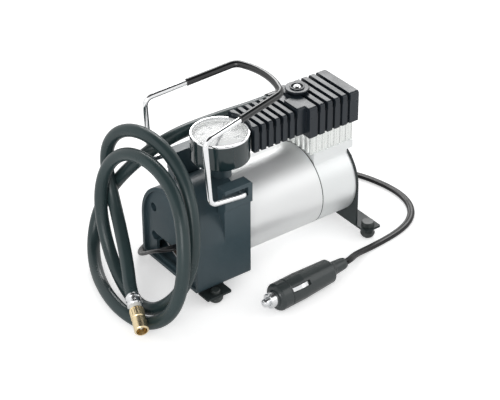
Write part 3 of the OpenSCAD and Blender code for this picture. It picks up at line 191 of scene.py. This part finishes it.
def surface(name, colour, rough, metal=0.0, mottle=(60.0, 0.08), relief=(900.0, 0.00002),
            stretch=(1, 1, 1), rough_spread=0.05, specular=0.5, edge=0.0):
    """A finish: base colour, roughness and relief, each varied by noise in the piece's own coordinates.

    Mottle and relief each hold the noise's scale and an amount. Colour is the given colour times 1 plus
    or minus the mottle's amount; roughness moves by the spread either way, on finer noise; relief is a
    height in metres. Stretch squeezes the noise along an axis, as brushing does. Edge is the radius, in
    metres, to which the piece's corners look rounded off.
    """
    noise_low, noise_high, finer = 0.3, 0.7, 1.7
    made = bpy.data.materials.new(name)
    made.use_nodes = True
    nodes, links = made.node_tree.nodes, made.node_tree.links
    shader = nodes["Principled BSDF"]
    shader.inputs["Metallic"].default_value = metal
    shader.inputs["Specular IOR Level"].default_value = specular
    place = nodes.new("ShaderNodeTexCoord")
    squeeze = nodes.new("ShaderNodeMapping")
    squeeze.inputs["Scale"].default_value = stretch
    links.new(place.outputs["Object"], squeeze.inputs["Vector"])

    def noise(scale, detail):
        """Noise of the given scale and detail at the piece's squeezed coordinates."""
        field = nodes.new("ShaderNodeTexNoise")
        field.inputs["Scale"].default_value = scale
        field.inputs["Detail"].default_value = detail
        links.new(squeeze.outputs["Vector"], field.inputs["Vector"])
        return field.outputs["Fac"]

    tint = nodes.new("ShaderNodeValToRGB")
    for stop, at, sign in zip(tint.color_ramp.elements, (noise_low, noise_high), (-1, 1)):
        stop.position = at
        stop.color = (*np.clip(np.array(colour) * (1 + sign * mottle[1]), 0, 1), 1)
    links.new(noise(mottle[0], 4), tint.inputs["Fac"])
    links.new(tint.outputs["Color"], shader.inputs["Base Color"])
    wander = nodes.new("ShaderNodeMapRange")
    wander.inputs["From Min"].default_value = noise_low
    wander.inputs["From Max"].default_value = noise_high
    wander.inputs["To Min"].default_value = max(rough - rough_spread, 0.02)
    wander.inputs["To Max"].default_value = rough + rough_spread
    links.new(noise(mottle[0] * finer, 3), wander.inputs["Value"])
    links.new(wander.outputs["Result"], shader.inputs["Roughness"])
    bump = nodes.new("ShaderNodeBump")
    bump.inputs["Distance"].default_value = relief[1]
    links.new(noise(relief[0], 3), bump.inputs["Height"])
    links.new(bump.outputs["Normal"], shader.inputs["Normal"])
    if edge:
        rounding = nodes.new("ShaderNodeBevel")
        rounding.samples = 6
        rounding.inputs["Radius"].default_value = edge
        links.new(rounding.outputs["Normal"], bump.inputs["Normal"])
    return made


def wear(finish, *names):
    """Puts a finish on CAD nodes, in every material slot they have."""
    for name in names:
        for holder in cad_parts[name].material_slots:
            holder.material = finish


hose_path, hose_length = smooth_route(hose_points, hose_diameter / 2)
# Its rings start square to y, along the straight behind the cover, and then turn to be square to x,
# since the loops never run along x.
turn_from, turn_over = 0.10, 0.07
turned = np.clip((np.linspace(0, 1, len(hose_path)) - turn_from) / turn_over, 0, 1)[:, None]
hose_side = np.cross(headings(hose_path), (1 - turned) * [0, 1, 0] + turned * [1, 0, 0])
hose = run_along("air_hose_run", hose_path, hose_side, hose_diameter / 2 * circle(32))
hose_rubber = surface("hose_rubber", (0.026, 0.046, 0.048), 0.31, mottle=(45, 0.12), relief=(1500, 0.00002),
                      specular=0.42)
hose.data.materials.append(hose_rubber)
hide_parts("air_hose")
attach(hose, "base")
pin_radius = 0.001
pin_swell = np.array([1.0, 1.3, 1.3, 1.2, 0.8])
pin_way = unit_rows([hose_points[-1] - hose_points[-2]])
pin_along = np.array([[23.3], [24.0], [26.5], [28.6], [29.4]]) * 0.001
valve_pin = run_along("valve_pin", hose_points[-1] + pin_way * pin_along,
                      np.tile([0.0, 0.0, 1.0], (len(pin_along), 1)), circle(32) * pin_radius, pin_swell)
waxy_white = surface("waxy_white", (0.80, 0.79, 0.74), 0.45)
valve_pin.data.materials.append(waxy_white)
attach(valve_pin, "base")
wear(waxy_white, "piston_seal", "chuck_stem")

# Power cord. Just under half a metre of flat twin cord, 5.6 by 3 mm: two black cores side by side with
# a groove between them. It leaves the end wall, goes down the far side, and runs along behind the body
# and round in front of it to the plug.
cord_width, cord_thick = 0.0056, 0.0030
cord_points = np.array([
    [-80.15, -16, 42], [-85.2, -16, 42], [-89.5, -13.5, 41], [-91.5, -7.5, 37.5], [-91, 0, 32.5],
    [-89, 9, 26], [-86.8, 18.5, 19], [-84.5, 28, 11.5], [-80.8, 37, 6], [-75, 44, 3], [-66, 49, 1.6],
    [-52, 52, 1.6], [-36, 53, 1.6], [-16, 53, 1.6], [5, 53, 1.6], [26, 53, 1.6], [47, 53, 1.6],
    [68, 53, 1.6], [84, 52, 1.6], [98, 49, 1.6], [109, 43, 1.6], [117, 33.5, 1.6], [122, 21.5, 1.6],
    [125.5, 10, 1.6], [127.5, -2, 1.6], [127.5, -13, 1.6], [125, -24.5, 1.6], [119, -35, 1.6],
    [110, -43.5, 1.6], [98, -49, 1.6], [85, -51.5, 1.6], [72, -53, 1.6], [63, -54.4, 1.9],
    [56, -55.5, 2.9], [49, -57.2, 4.3], [43, -59.9, 6.2], [37.9, -63.2, 8.4], [33.6, -66, 10.1],
    [29.7, -67.25, 10.6], [26.72, -67.45, 10.6]]) * 0.001
cord_path, cord_length = smooth_route(cord_points, cord_thick / 2)
groove_depth, groove_half = 0.28, 0.0006
over, above = circle(32).T
cord_across = cord_width / 2 * np.sign(over) * np.abs(over) ** 0.8
cord_up = cord_thick / 2 * np.sign(above) * np.abs(above) ** 0.7 \
    * (1 - groove_depth * np.exp(-(cord_across / groove_half) ** 2))
cord = run_along("power_cord_run", cord_path, np.cross([0, 0, 1], headings(cord_path)),
                 np.column_stack([cord_across, cord_up]))
cord_sheath = surface("cord_sheath", (0.006, 0.006, 0.007), 0.34, mottle=(80, 0.10), relief=(1800, 0.000015),
                      specular=0.35)
cord.data.materials.append(cord_sheath)
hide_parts("power_cord")
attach(cord, "base")

# Motor. A drawn steel tube painted silver, with the magnets, armature and brush gear inside it, and
# a turned steel shaft. A thin dark ring of painted shade marks where the tube meets the crankcase.
silver_paint = surface("silver_paint", (0.90, 0.91, 0.91), 0.38, metal=0.45, mottle=(9, 0.02),
                       relief=(2600, 0.00006), rough_spread=0.03)
wear(silver_paint, "motor_tube")
tube_low, tube_high = (np.array(corner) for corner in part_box("motor_tube"))
seam_middle = np.array([tube_high[0], *((tube_low + tube_high) / 2)[1:]])
seam_out = np.column_stack([np.zeros(121), circle(121, closed=True)])


def strip(inner, outer, half):
    """A profile with four corners: across goes from inner to outer, and up from minus half to half."""
    return np.array([[inner, -half], [outer, -half], [outer, half], [inner, half]])


# A dark ring, sunk into the tube but for a hair, paints the shade of the joint with the crankcase.
seam = run_along("tube_seam", seam_middle + seam_out * (tube_high[1] - tube_low[1]) / 2, seam_out,
                 strip(-0.00035, 0.00008, 0.00024))
seam_painted_shade = surface("seam_painted_shade", (0.03, 0.035, 0.036), 0.6)
seam.data.materials.append(seam_painted_shade)
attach(seam, "base")
ferrite = surface("ferrite", (0.05, 0.05, 0.055), 0.7)
wear(ferrite, "field_magnets")
brown_board = surface("brown_board", (0.055, 0.036, 0.026), 0.6)
wear(brown_board, "brush_plate")
carbon = surface("carbon", (0.02, 0.02, 0.02), 0.55)
wear(carbon, "brushes")
turned_steel = surface("turned_steel", (0.60, 0.61, 0.62), 0.25, metal=1.0, mottle=(40, 0.05),
                       relief=(700, 0.00001), stretch=(8, 1, 1))
wear(turned_steel, "front_bearing", "motor_shaft", "armature_core", "valve_plate", "head_screws",
     "rod_bearing", "air_pipe", "bracket_screws")
oiled_steel = surface("oiled_steel", (0.10, 0.10, 0.11), 0.35, metal=1.0)
wear(oiled_steel, "crank_disc", "crank_grub_screw", "valve_reeds", "crank_pin", "retainer_screw")
copper = surface("copper", (0.26, 0.09, 0.04), 0.35, metal=1.0)
wear(copper, "armature_windings", "commutator")
brass = surface("brass", (0.86, 0.71, 0.45), 0.28, metal=1.0, mottle=(90, 0.10), relief=(900, 0.00001))
wear(brass, "rear_bush", "gauge_movement", "chuck_nut")

# Crankcase and cylinder. The crankcase is an aluminium casting with a fine blasted skin; the fluted
# cylinder block on it is brighter, and the valve plate and head stand on that.
blasted_aluminium = surface("blasted_aluminium", (0.86, 0.88, 0.88), 0.40, metal=0.55, mottle=(12, 0.02),
                            relief=(2200, 0.00005))
wear(blasted_aluminium, "crankcase", "cylinder_head", "connecting_rod", "seal_retainer")
fluted_aluminium = surface("fluted_aluminium", (0.87, 0.89, 0.87), 0.24, metal=0.8, mottle=(30, 0.02),
                           relief=(1200, 0.000015))
wear(fluted_aluminium, "cylinder_block")

# Ribbed cover. One moulding in satin charcoal plastic with sharp ribs, wide over the cylinder and narrow
# over the air pipe. A washer of the same plastic and a chromed cross-head screw hold it down.
charcoal = surface("charcoal", (0.015, 0.021, 0.028), 0.30, mottle=(50, 0.12), relief=(1900, 0.00002),
                   specular=0.4, edge=0.0004)
wear(charcoal, "ribbed_cover", "cover_washer")
chrome = surface("chrome", (0.90, 0.91, 0.92), 0.06, metal=1.0, mottle=(30, 0.02), relief=(300, 0.000004),
                 rough_spread=0.02)
wear(chrome, "cover_screw")

# End housing. A moulding in slate-black plastic with a fine spark-eroded grain. The outlet elbow and
# the switch's frame are plain black and glossier, and the rocker is red.
slate = surface("slate", (0.043, 0.072, 0.086), 0.38, mottle=(35, 0.08), relief=(2200, 0.00002), edge=0.0005)
wear(slate, "end_housing")
gloss_black = surface("gloss_black", (0.012, 0.015, 0.016), 0.14, mottle=(60, 0.10), relief=(600, 0.000006),
                      rough_spread=0.03, edge=0.0003)
wear(gloss_black, "outlet_elbow", "switch_frame")
rocker_red = surface("rocker_red", (0.50, 0.03, 0.02), 0.35)
wear(rocker_red, "switch_rocker")

# Gauge. A pressed steel can, enamelled black, with a chromed ring that holds the lens over a white dial.
# The dial is printed in grey with a scale line, ticks and plain figures from 0 to 150.
enamel = surface("enamel", (0.012, 0.028, 0.031), 0.12, mottle=(60, 0.10), relief=(500, 0.000004),
                 rough_spread=0.03, specular=0.7, edge=0.0003)
wear(enamel, "gauge_case")
wear(chrome, "gauge_bezel")
dial_paint = surface("dial_paint", (0.93, 0.94, 0.93), 0.45, mottle=(30, 0.01), relief=(1200, 0.000004))
wear(dial_paint, "gauge_dial")
needle_grey = surface("needle_grey", (0.10, 0.11, 0.12), 0.35)
wear(needle_grey, "gauge_needle")
dial_low, dial_high = (np.array(corner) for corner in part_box("gauge_dial"))
dial_face = np.array([*((dial_low + dial_high) / 2)[:2], dial_high[2]])


def round_dial(share, radius):
    """Places on the dial: at the given radius, 225 degrees less 270 times the share, counted from right."""
    scale_turn = np.radians(225 - 270 * np.asarray(share, dtype=float))
    return dial_face + np.stack([radius * np.cos(scale_turn), radius * np.sin(scale_turn),
                                 np.zeros_like(scale_turn)], -1)


full_scale, figure_step, ticks_per_figure = 150, 25, 5
tick_count = full_scale // figure_step * ticks_per_figure + 1
tick_height, tick_end = 0.00003, 0.0184
tick_long = np.arange(tick_count) % ticks_per_figure == 0
tick_out = unit_rows(round_dial(np.linspace(0, 1, tick_count), tick_end) - dial_face)
tick_over = np.cross([0, 0, 1], tick_out) * np.where(tick_long, 0.00022, 0.00012)[:, None]
tick_inner = dial_face + tick_out * np.where(tick_long, 0.0152, 0.0168)[:, None]
tick_outer = dial_face + tick_out * tick_end
tick_foot = np.stack([tick_inner - tick_over, tick_outer - tick_over, tick_outer + tick_over,
                      tick_inner + tick_over], 1)
tick_points = np.concatenate([tick_foot, tick_foot + [0, 0, tick_height]], 1).reshape(-1, 3)
block_faces = np.array([[0, 3, 2, 1], [4, 5, 6, 7], [0, 1, 5, 4], [1, 2, 6, 5], [2, 3, 7, 6], [3, 0, 4, 7]])
tick_faces = (block_faces[None] + 8 * np.arange(tick_count)[:, None, None]).reshape(-1, 4)
tick_mesh = bpy.data.meshes.new("dial_ticks")
tick_mesh.from_pydata(tick_points.tolist(), [], tick_faces.tolist())
ticks = add("dial_ticks", tick_mesh)

figure_size, figure_radius, figure_half = 0.0036, 0.0125, 0.000015
figure_points, figure_faces = np.empty((0, 3)), np.empty((0, 3), dtype=int)
for reading in range(0, full_scale + 1, figure_step):
    word = bpy.data.curves.new("reading", "FONT")
    word.body = str(reading)
    word.size = figure_size
    word.align_x, word.align_y = "CENTER", "CENTER"
    word.extrude = figure_half
    holder = bpy.data.objects.new("reading", word)
    flat = bpy.data.meshes.new_from_object(holder)
    flat.calc_loop_triangles()
    spots, corners = np.empty(3 * len(flat.vertices)), np.empty(3 * len(flat.loop_triangles), dtype=np.int32)
    flat.vertices.foreach_get("co", spots)
    flat.loop_triangles.foreach_get("vertices", corners)
    figure_faces = np.vstack([figure_faces, corners.reshape(-1, 3) + len(figure_points)])
    figure_middle = round_dial(reading / full_scale, figure_radius) + [0, 0, figure_half]
    figure_points = np.vstack([figure_points, spots.reshape(-1, 3) + figure_middle])
    bpy.data.objects.remove(holder)
    bpy.data.curves.remove(word)
    bpy.data.meshes.remove(flat)
figure_mesh = bpy.data.meshes.new("dial_figures")
figure_mesh.from_pydata(figure_points.tolist(), [], figure_faces.tolist())
figures = add("dial_figures", figure_mesh)

line_share = np.linspace(0, 1, 91)
line_radius, line_half_width, line_half_height = 0.0187, 0.00012, 0.00001
scale_line = run_along("dial_scale_line", round_dial(line_share, line_radius) + [0, 0, line_half_height],
                       round_dial(line_share, 1.0) - dial_face,
                       strip(-line_half_width, line_half_width, line_half_height))
lens_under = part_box("gauge_lens")[0][2]
spacer_radius, spacer_half_wall, spacer_gap = 0.01988, 0.00014, 0.00001
spacer_half = (lens_under - dial_face[2]) / 2 - 2 * spacer_gap
spacer_out = np.column_stack([circle(97, closed=True), np.zeros(97)])
spacer = run_along("dial_spacer", dial_face + [0, 0, spacer_half + spacer_gap] + spacer_out * spacer_radius,
                   spacer_out, strip(-spacer_half_wall, spacer_half_wall, spacer_half))
spacer.data.materials.append(dial_paint)
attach(spacer, "base")
dial_print = surface("dial_print", (0.22, 0.24, 0.25), 0.5)
for printed in (ticks, figures, scale_line):
    printed.data.materials.append(dial_print)
    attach(printed, "base")

# Handle. A 4 mm steel wire, bent cold and chromed. Its feet turn in through the slots of the ears, and
# its crossbar bows away from the gauge. A tight rubber sleeve covers the bar and half of both arms.
wire_radius, sleeve_radius, bar_bow = 0.0020, 0.00265, 0.006
handle_corners = np.array([[-39.95, -29.6, 79.6], [-39.95, -37.4, 79.6], [-69.55, -37.4, 82.4],
                           [-72.71, -36.5, 133.8], [-0.65, -27, 143]]) * 0.001
sleeve_start = handle_corners[3] * 0.55 + handle_corners[4] * 0.45


def bend(before, corner, after, radius):
    """Points round a corner, on the circle of the given radius that touches both of its straights.

    The middle is the corner plus the radius over the sine of half its angle, back along the line that
    halves it; the points are the middle plus the radius times (cosine outward plus sine across), from
    one straight to the other.
    """
    u, v = unit_rows(np.array([before, after]) - corner)
    half = np.arccos(u @ v) / 2
    outward = -unit_rows([u + v])[0]
    across = unit_rows([v - (v @ outward) * outward])[0]
    sweep = np.linspace(-1, 1, 17)[:, None] * (np.pi / 2 - half)
    middle = corner - outward * radius / np.sin(half)
    return middle + radius * (outward * np.cos(sweep) + across * np.sin(sweep))


# The bar goes from the near corner to the middle, along y, plus the bow times 1 less the share squared.
# The near half of the wire is worked out, and the far half is its mirror image.
bar_share = np.linspace(-1, 0, 11)[:, None]
bar_out = unit_rows([handle_corners[4] - handle_corners[3]]) * [1, 0, 1]
bar_points = handle_corners[4] * [1, 0, 1] - bar_share * handle_corners[4] * [0, 1, 0] \
    + bar_out * bar_bow * (1 - bar_share ** 2)
near_half = np.vstack([
    handle_corners[0], bend(*handle_corners[[0, 1, 2]], 0.0026), bend(*handle_corners[[1, 2, 3]], 0.006),
    bend(*handle_corners[[2, 3, 4]], 0.006), bend(handle_corners[3], handle_corners[4], bar_points[3], 0.008),
    bar_points[4:]])
handle_path = evened(np.vstack([near_half, near_half[-2::-1] * [1, -1, 1]]), 0.0007)[0]
wire = run_along("handle_wire_bent", handle_path, np.ones_like(handle_path), wire_radius * circle(28))
wire.data.materials.append(chrome)
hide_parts("handle_wire")
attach(wire, "base")
sleeve_first = int(np.argmin(np.linalg.norm(handle_path - sleeve_start, axis=1)))
sleeve_path = handle_path[sleeve_first:len(handle_path) - sleeve_first]
sleeve_swell = np.ones(len(sleeve_path))
sleeve_swell[[0, -1]] = 0.92
sleeve = run_along("grip_sleeve_drawn_on", sleeve_path, np.ones_like(sleeve_path), sleeve_radius * circle(28),
                   sleeve_swell)
grip_rubber = surface("grip_rubber", (0.008, 0.009, 0.010), 0.16, mottle=(60, 0.10), relief=(1500, 0.000008),
                      specular=0.7)
sleeve.data.materials.append(grip_rubber)
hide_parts("grip_sleeve")
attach(sleeve, "base")

# Plug. Its body, boot and nose are moulded in satin grey-black plastic; the collar, tip and the two
# side contacts are nickelled brass, as the crimped ferrule of the hose is.
satin_black = surface("satin_black", (0.041, 0.050, 0.051), 0.22, mottle=(60, 0.08), relief=(1200, 0.00001),
                      rough_spread=0.03, specular=0.45, edge=0.0003)
wear(satin_black, "plug_body", "plug_nose", "plug_boot")
nickel = surface("nickel", (0.80, 0.81, 0.82), 0.16, metal=1.0, mottle=(60, 0.05), relief=(700, 0.000008),
                 edge=0.0002)
wear(nickel, "hose_ferrule", "plug_collar", "plug_tip", "plug_contact_near", "plug_contact_far")

# Feet, brackets and grommet. The brackets are pressed steel, painted black; the feet and the grommet
# are black rubber.
foot_rubber = surface("foot_rubber", (0.030, 0.037, 0.036), 0.40, mottle=(60, 0.12), relief=(1400, 0.00003))
wear(foot_rubber, "cord_grommet", "rear_feet", "front_feet")
black_steel = surface("black_steel", (0.026, 0.034, 0.035), 0.42, mottle=(40, 0.1), relief=(800, 0.00001),
                      specular=0.28, edge=0.0003)
wear(black_steel, "rear_bracket", "front_bracket")

# Lens of the gauge and tube of the fuse. Both are clear, thin and polished; the chromed ring holds the
# lens, and the plug's collar keeps the fuse in.
clear = bpy.data.materials.new("clear")
clear.use_nodes = True
clear_shader = clear.node_tree.nodes["Principled BSDF"]
clear_shader.inputs["Base Color"].default_value = (0.95, 0.97, 0.98, 1)
clear_shader.inputs["Roughness"].default_value = 0.03
clear_shader.inputs["Alpha"].default_value = 0.06
clear_grain = clear.node_tree.nodes.new("ShaderNodeTexNoise")
clear_grain.inputs["Scale"].default_value = 60
clear_bump = clear.node_tree.nodes.new("ShaderNodeBump")
clear_bump.inputs["Distance"].default_value = 0.000002
clear.node_tree.links.new(clear_grain.outputs["Fac"], clear_bump.inputs["Height"])
clear.node_tree.links.new(clear_bump.outputs["Normal"], clear_shader.inputs["Normal"])
wear(clear, "gauge_lens", "plug_fuse")

# Floor and light. A white floor under the inflator, a pale room with a dark ceiling, and three large
# soft lamps: one at the front left, one at the right, and one behind that puts a sheen on what lies flat.
floor_reach, floor_grey, floor_lift_seen, floor_lift_mirrored = 3, 0.93, 0.47, 0.16
floor_mesh = bpy.data.meshes.new("floor")
floor_mesh.from_pydata([(-floor_reach, -floor_reach, 0), (floor_reach, -floor_reach, 0),
                        (floor_reach, floor_reach, 0), (-floor_reach, floor_reach, 0)], [], [(0, 1, 2, 3)])
floor = add("floor", floor_mesh)
floor_white = bpy.data.materials.new("floor_white")
floor_white.use_nodes = True
floor_nodes, floor_links = floor_white.node_tree.nodes, floor_white.node_tree.links
floor_shader = floor_nodes["Principled BSDF"]
floor_shader.inputs["Base Color"].default_value = (floor_grey, floor_grey, floor_grey, 1)
floor_shader.inputs["Roughness"].default_value = 0.9
floor_shader.inputs["Specular IOR Level"].default_value = 0.0


def seen_straight(nodes, links, rays):
    """1 for a camera ray or a transmission ray, and 0 for any other: the greater of the two."""
    greater = nodes.new("ShaderNodeMath")
    greater.operation = "MAXIMUM"
    links.new(rays.outputs["Is Camera Ray"], greater.inputs[0])
    links.new(rays.outputs["Is Transmission Ray"], greater.inputs[1])
    return greater.outputs[0]


floor_rays = floor_nodes.new("ShaderNodeLightPath")
floor_lift = floor_nodes.new("ShaderNodeMapRange")
floor_lift.inputs["To Max"].default_value = floor_lift_seen
floor_mirrored = floor_nodes.new("ShaderNodeMath")
floor_mirrored.operation = "MULTIPLY"
floor_mirrored.inputs[1].default_value = floor_lift_mirrored
floor_links.new(floor_rays.outputs["Is Glossy Ray"], floor_mirrored.inputs[0])
floor_links.new(floor_mirrored.outputs[0], floor_lift.inputs["To Min"])
floor_links.new(seen_straight(floor_nodes, floor_links, floor_rays), floor_lift.inputs["Value"])
floor_shader.inputs["Emission Color"].default_value = (1, 1, 1, 1)
floor_links.new(floor_lift.outputs[0], floor_shader.inputs["Emission Strength"])
floor_mesh.materials.append(floor_white)

room = bpy.data.worlds.new("room")
bpy.context.scene.world = room
room.use_nodes = True
room_nodes, room_links = room.node_tree.nodes, room.node_tree.links
room_rays = room_nodes.new("ShaderNodeLightPath")
room_way = room_nodes.new("ShaderNodeTexCoord")
room_height = room_nodes.new("ShaderNodeSeparateXYZ")
room_links.new(room_way.outputs["Generated"], room_height.inputs["Vector"])
ceiling = room_nodes.new("ShaderNodeMapRange")
ceiling.interpolation_type = "SMOOTHSTEP"
for socket, value in (("From Min", 0.72), ("From Max", 0.80), ("To Min", 1.0), ("To Max", 0.06)):
    ceiling.inputs[socket].default_value = value
room_links.new(room_height.outputs["Z"], ceiling.inputs["Value"])
room_mirrored = room_nodes.new("ShaderNodeMapRange")
room_mirrored.inputs["To Min"].default_value = 0.55
room_links.new(room_rays.outputs["Is Glossy Ray"], room_mirrored.inputs["Value"])
room_links.new(ceiling.outputs["Result"], room_mirrored.inputs["To Max"])
room_level = room_nodes.new("ShaderNodeMapRange")
room_level.inputs["To Max"].default_value = 1.0
room_links.new(seen_straight(room_nodes, room_links, room_rays), room_level.inputs["Value"])
room_links.new(room_mirrored.outputs["Result"], room_level.inputs["To Min"])
room_nodes["Background"].inputs["Color"].default_value = (1, 1, 1, 1)
room_links.new(room_level.outputs["Result"], room_nodes["Background"].inputs["Strength"])

lamps_aim = np.array([0, 0, 0.05])
for lamp_name, lamp_at, lamp_size, lamp_power in (("front_left", (-1.15, -0.75, 0.75), 0.7, 6.5),
                                                  ("right", (0.9, -0.7, 0.8), 0.8, 1.8),
                                                  ("behind", (0.79, 1.08, 0.93), 0.65, 8.0)):
    lamp = add(lamp_name, bpy.data.lights.new(lamp_name, "AREA"))
    lamp.data.size = lamp_size
    lamp.data.energy = lamp_power
    lamp_back = unit_rows([np.array(lamp_at) - lamps_aim])[0]
    lamp_level = unit_rows(np.cross([[0, 0, 1]], lamp_back))[0]
    stand(lamp, lamp_level, np.cross(lamp_back, lamp_level), lamp_back, lamp_at)
bpy.context.scene.view_settings.view_transform = "Standard"
